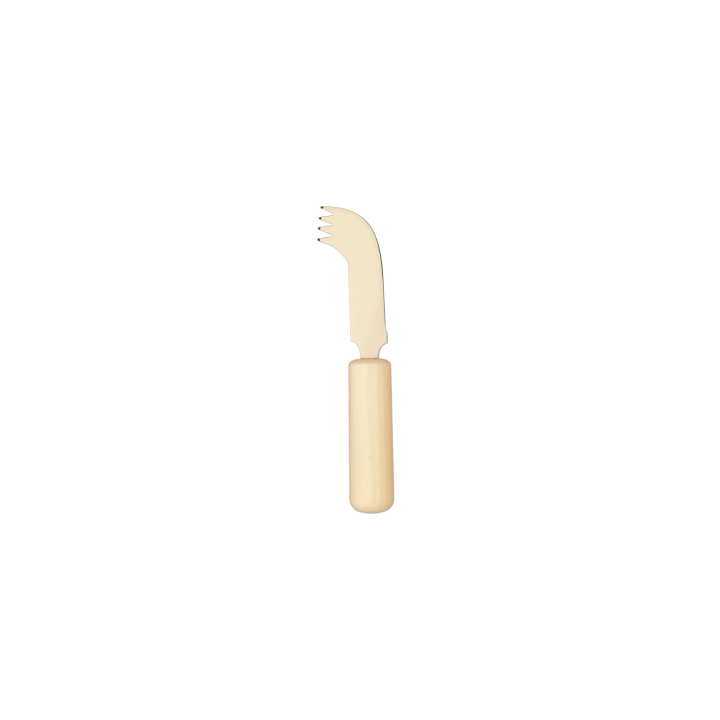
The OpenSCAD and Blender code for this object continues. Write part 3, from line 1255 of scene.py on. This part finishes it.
@dataclass(frozen=True)
class Handle(Part):
    """The turned handle with its drilled hole, drawn by rings of a radius at a distance from the front.

    Attributes:
        length: Front to butt.
        front_radius: Radius at the front.
        butt_radius: Largest radius, near the butt.
        front_round: Rounding of the front shoulder, across the handle.
        front_depth: Rounding of the front shoulder, along the handle.
        butt_round: Rounding where the side turns into the butt.
        dome_radius: Radius of the domed butt end.
        bore_radius: Radius of the drilled hole.
        bore_depth: Depth of the hole to its cone.
        drill_point: Length of the cone.
        mouth: Width of the bevel at the mouth of the hole.
        sectors: Faces round the handle.
        arc_steps: Rings along each rounding.
        side_steps: Rings along the side.
        smooth_angle: Angle up to which faces are shaded as one surface.
    """

    length: float = 0.0776
    front_radius: float = 0.01075
    butt_radius: float = 0.01129
    front_round: float = 0.0055
    front_depth: float = 0.0035
    butt_round: float = 0.0068
    dome_radius: float = 0.022
    bore_radius: float = 0.0033
    bore_depth: float = 0.048
    drill_point: float = 0.00198
    mouth: float = 0.0002
    sectors: int = 128
    arc_steps: int = 12
    side_steps: int = 16
    smooth_angle: float = math.radians(40)

    def outer_profile(self) -> list[Ring]:
        """Rings from the mouth of the hole to the butt's last one.

        Returns:
            The rings.
        """
        front_across = self.front_radius - self.front_round
        butt_across = self.butt_radius - self.butt_round
        rise = math.sqrt((self.dome_radius - self.butt_round) ** 2 - butt_across ** 2)
        dome_middle = self.length - self.dome_radius
        butt_middle = dome_middle + rise
        join = math.atan2(rise, butt_across)
        rings = [(self.bore_radius + self.mouth, 0.0), ((self.bore_radius + front_across) / 2, 0.0)]
        for turn in spread(0.0, math.pi / 2, self.arc_steps):
            rings.append((front_across + self.front_round * math.sin(turn),
                          self.front_depth * (1 - math.cos(turn))))
        for share in spread(0.0, 1.0, self.side_steps)[1:-1]:
            rings.append((self.front_radius + (self.butt_radius - self.front_radius) * share,
                          self.front_depth + (butt_middle - self.front_depth) * share))
        for turn in spread(0.0, join, self.arc_steps):
            rings.append((butt_across + self.butt_round * math.cos(turn),
                          butt_middle + self.butt_round * math.sin(turn)))
        for turn in spread(join, math.pi / 2, self.arc_steps)[1:-1]:
            rings.append((self.dome_radius * math.cos(turn),
                          dome_middle + self.dome_radius * math.sin(turn)))
        return rings

    def build(self) -> bpy.types.Object:
        """Draws the handle out ring by ring, and then its hole.

        Returns:
            The handle.
        """
        rings = self.outer_profile()
        bpy.ops.mesh.primitive_circle_add(vertices=self.sectors, radius=rings[0][0], location=self.lay.front,
                                          rotation=(math.pi / 2, 0.0, 0.0))
        piece = settle("handle_body")
        hole = [(self.bore_radius, self.mouth), (self.bore_radius, self.bore_depth)]
        self._draw_out(piece, rings, self.length)
        self._draw_out(piece, [rings[0], *hole], self.bore_depth + self.drill_point)
        with Shaping(piece):
            bpy.ops.mesh.remove_doubles(threshold=MERGE_GAP)
            bpy.ops.mesh.normals_make_consistent(inside=False)
        smooth(piece, self.smooth_angle)
        return piece

    def _draw_out(self, piece: bpy.types.Object, rings: Sequence[Ring], end: float) -> None:
        """Extrudes the mouth ring through more rings to a closed end on the axis.

        Args:
            piece: The handle.
            rings: Rings from the mouth on.
            end: Distance of the closed end from the front.
        """
        with Shaping(piece) as shaping:
            shaping.pick(MeshPart.POINT, lambda vertex: self._on_ring(vertex, rings[0]))
            for (radius, at), (next_radius, next_at) in zip(rings, rings[1:]):
                self._next_ring(next_at - at, next_radius / radius, next_at)
            self._next_ring(end - rings[-1][1], 1.0, end)
            bpy.ops.mesh.merge(type="CENTER")

    def _on_ring(self, vertex: bmesh.types.BMVert, ring: Ring) -> bool:
        """Whether a point lies on a ring."""
        offset = vertex.co - self.lay.front
        return math.dist((math.hypot(offset.x, offset.z), -offset.y), ring) < MERGE_GAP

    def _next_ring(self, step: float, grow: float, at: float) -> None:
        """Extrudes the selected ring towards the butt, and scales the new one about the axis.

        Args:
            step: Length of the extrusion.
            grow: Factor on the radius.
            at: Distance of the new ring from the front.
        """
        middle = self.lay.front - Vector((0.0, at, 0.0))
        bpy.ops.mesh.extrude_region_move(TRANSFORM_OT_translate={"value": (0.0, -step, 0.0)})
        bpy.ops.transform.resize(value=(grow, 1.0, grow), center_override=middle)

    def dress(self, piece: bpy.types.Object) -> None:
        """Gives the handle its wood and marks its rims.

        Args:
            piece: The handle.
        """
        piece.data.materials.append(TurnedWood().material(self.effects, self.lay))
        rims = []
        for vertex in piece.data.vertices:
            at = self.lay.front.y - vertex.co.y
            near = min(at / self.front_depth, (self.length - at) / self.butt_round)
            rims.append(max(0.0, 1.0 - max(0.0, near)))
        mark(piece, "rim", rims)


@dataclass(frozen=True)
class Adhesive(Part):
    """The adhesive round the tang, with the line that was squeezed out round the neck.

    Attributes:
        neck_width: Width of the blade's neck.
        neck_thick: Thickness of the blade's neck.
        line: Height and width of the squeezed line.
        corner_round: Rounding of the line's corners.
        corner_steps: Faces across each rounding.
        smooth_angle: Angle up to which faces are shaded as one surface.
    """

    neck_width: float = 0.010
    neck_thick: float = 0.0015
    line: float = 0.0003
    corner_round: float = 0.00025
    corner_steps: int = 3
    smooth_angle: float = math.radians(50)

    def build(self) -> bpy.types.Object:
        """Copies the filling of the hole and adds the squeezed line.

        Returns:
            The adhesive.
        """
        piece = copied("tang_adhesive", "adhesive_body")
        line = self._squeezed_line()
        only(piece)
        line.select_set(True)
        bpy.ops.object.join()
        smooth(piece, self.smooth_angle)
        return piece

    def _squeezed_line(self) -> bpy.types.Object:
        """A low sloping rim of adhesive on the handle front, round the neck.

        Returns:
            The rim.
        """
        across = self.lay.across()
        along = Vector((0.0, 1.0, 0.0))
        turn = Matrix((across, along.cross(across), along)).transposed().to_euler()
        bpy.ops.mesh.primitive_plane_add(size=1.0, location=self.lay.front, rotation=turn)
        sides = (side + 2 * self.line for side in (self.neck_width, self.neck_thick))
        bpy.context.active_object.scale = (*sides, 1.0)
        piece = settle("squeezed_line")
        top = self.lay.front.y + self.line - MERGE_GAP
        with Shaping(piece) as shaping:
            bpy.ops.mesh.inset(thickness=self.line, depth=self.line)
            shaping.pick(MeshPart.FACE, lambda face: face.calc_center_median().y > top)
            bpy.ops.mesh.delete(type="ONLY_FACE")
            shaping.pick(MeshPart.EDGE, lambda edge: edge.is_boundary and edge.verts[0].co.y > top)
            bpy.ops.mesh.extrude_region_move(TRANSFORM_OT_translate={"value": (0.0, -self.line, 0.0)})
            shaping.pick(MeshPart.EDGE, lambda edge: edge.is_boundary)
            bpy.ops.mesh.bridge_edge_loops()
            shaping.pick(MeshPart.EDGE, self._is_slope_corner)
            bpy.ops.mesh.bevel(offset=self.corner_round, segments=self.corner_steps, affect="EDGES")
            bpy.ops.mesh.select_all(action="SELECT")
            bpy.ops.mesh.normals_make_consistent(inside=False)
        return piece

    @staticmethod
    def _is_slope_corner(edge: bmesh.types.BMEdge) -> bool:
        """Whether an edge of the squeezed line slopes, as only its outer corners do."""
        rise = abs(edge.verts[0].co.y - edge.verts[1].co.y)
        return MERGE_GAP < rise < edge.calc_length() - MERGE_GAP

    def dress(self, piece: bpy.types.Object) -> None:
        """Gives the adhesive its colour."""
        piece.data.materials.append(CuredAdhesive().material(self.effects, self.lay))


@dataclass(frozen=True)
class Studio:
    """Plain pale floor, light from all round with a weak soft lamp on the left, and the photograph's camera.

    Attributes:
        lay: Lay of the knife.
        floor_size: Side of the floor.
        floor_cuts: Cuts along each side of the floor.
        floor_tint: Colour of the floor where it is seen.
        floor_bounce: Colour of the light that the floor sends back to the object.
        floor_glow: White that the floor adds where the camera or a mirror sees it.
        fill: Light from all round.
        key_power: Power of the soft lamp in watts.
        key_size: Side of the soft lamp.
        key_place: Place of the soft lamp.
        camera_height: Height of the camera over the handle axis.
        camera_lens_mm: Focal length.
        camera_offset: Handle front to the middle of the photograph, across and along.
        camera_tilt: Turn of the photograph about its middle.
    """

    lay: Lay
    floor_size: float = 6.0
    floor_cuts: int = 3
    floor_tint: Colour = (0.3, 0.3, 0.3, 1.0)
    floor_bounce: Colour = (0.18, 0.18, 0.18, 1.0)
    floor_glow: float = 0.82
    fill: Colour = (0.93, 0.93, 0.93, 1.0)
    key_power: float = 2.2
    key_size: float = 0.8
    key_place: tuple[float, float, float] = (-0.97, -0.32, 0.52)
    camera_height: float = 8.0
    camera_lens_mm: float = 800.0
    camera_offset: tuple[float, float] = (-0.004844, -0.000626)
    camera_tilt: float = -0.015254

    def build(self) -> None:
        """Sets up the floor, the light and the camera."""
        bpy.context.scene.view_settings.view_transform = "Standard"
        self._floor()
        self._world()
        self._key()
        self._camera()
        LOG.info("studio: floor, world, lamp and camera")

    @staticmethod
    def _seen(graph: Graph) -> Socket:
        """One where the camera, a mirror or glass looks, and zero for the light that the object gets.

        Args:
            graph: Graph of the floor or the world.

        Returns:
            The socket with the number.
        """
        paths = graph.add("ShaderNodeLightPath").outputs
        mirrors = graph.math("MAXIMUM", paths["Is Glossy Ray"], paths["Is Transmission Ray"])
        return graph.math("MAXIMUM", paths["Is Camera Ray"], mirrors)

    def _floor(self) -> None:
        """Makes the floor, which glows where it is seen so that its shadows stay light."""
        bpy.ops.mesh.primitive_plane_add(size=self.floor_size)
        floor = settle("floor")
        with Shaping(floor):
            bpy.ops.mesh.subdivide(number_cuts=self.floor_cuts)
        material = bpy.data.materials.new("pale_floor")
        graph = Graph(opened(material))
        seen = self._seen(graph)
        tint = graph.mix(seen, self.floor_bounce, self.floor_tint)
        matt = graph.add("ShaderNodeBsdfDiffuse", {"Color": tint}).outputs[0]
        strength = graph.math("MULTIPLY", seen, self.floor_glow)
        glow = graph.add("ShaderNodeEmission", {"Strength": strength}).outputs[0]
        both = graph.add("ShaderNodeAddShader", {0: matt, 1: glow}).outputs[0]
        graph.add("ShaderNodeOutputMaterial", {"Surface": both})
        floor.data.materials.append(material)

    def _world(self) -> None:
        """Makes the world white to the eye and a soft fill to the object."""
        world = bpy.context.scene.world = bpy.data.worlds.new("studio")
        graph = Graph(opened(world))
        colour = graph.mix(self._seen(graph), self.fill, WHITE)
        sky = graph.add("ShaderNodeBackground", {"Color": colour}).outputs[0]
        graph.add("ShaderNodeOutputWorld", {"Surface": sky})

    def _key(self) -> None:
        """Hangs the soft lamp and points it at the knife."""
        light = bpy.data.lights.new("soft_lamp", "AREA")
        light.energy = self.key_power
        light.size = self.key_size
        lamp = bpy.data.objects.new("soft_lamp", light)
        lamp.location = self.key_place
        lamp.rotation_euler = (-lamp.location).to_track_quat("-Z", "Y").to_euler()
        lamp.visible_camera = False
        lamp.visible_glossy = False
        bpy.context.collection.objects.link(lamp)

    def _camera(self) -> None:
        """Hangs the camera straight over the knife."""
        camera = bpy.data.objects.new("camera", bpy.data.cameras.new("camera"))
        camera.data.lens = self.camera_lens_mm
        camera.location = self.lay.front + Vector((*self.camera_offset, self.camera_height))
        camera.rotation_euler = (0.0, 0.0, self.camera_tilt)
        bpy.context.collection.objects.link(camera)
        bpy.context.scene.camera = camera


def main() -> None:
    """Builds and dresses the knife piece by piece, then its studio."""
    logging.basicConfig(level=logging.INFO)
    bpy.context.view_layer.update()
    lay = Lay.from_frame()
    effects = Effects()
    for part, node, slot in (
        (Blade(lay, effects), "blade", "blade_steel"),
        (Handle(lay, effects), "handle", "handle_wood"),
        (Adhesive(lay, effects), "tang_adhesive", "cured_adhesive"),
    ):
        piece = part.build()
        part.dress(piece)
        ready(piece, node)
    Studio(lay).build()


if __name__ == "__main__":
    main()
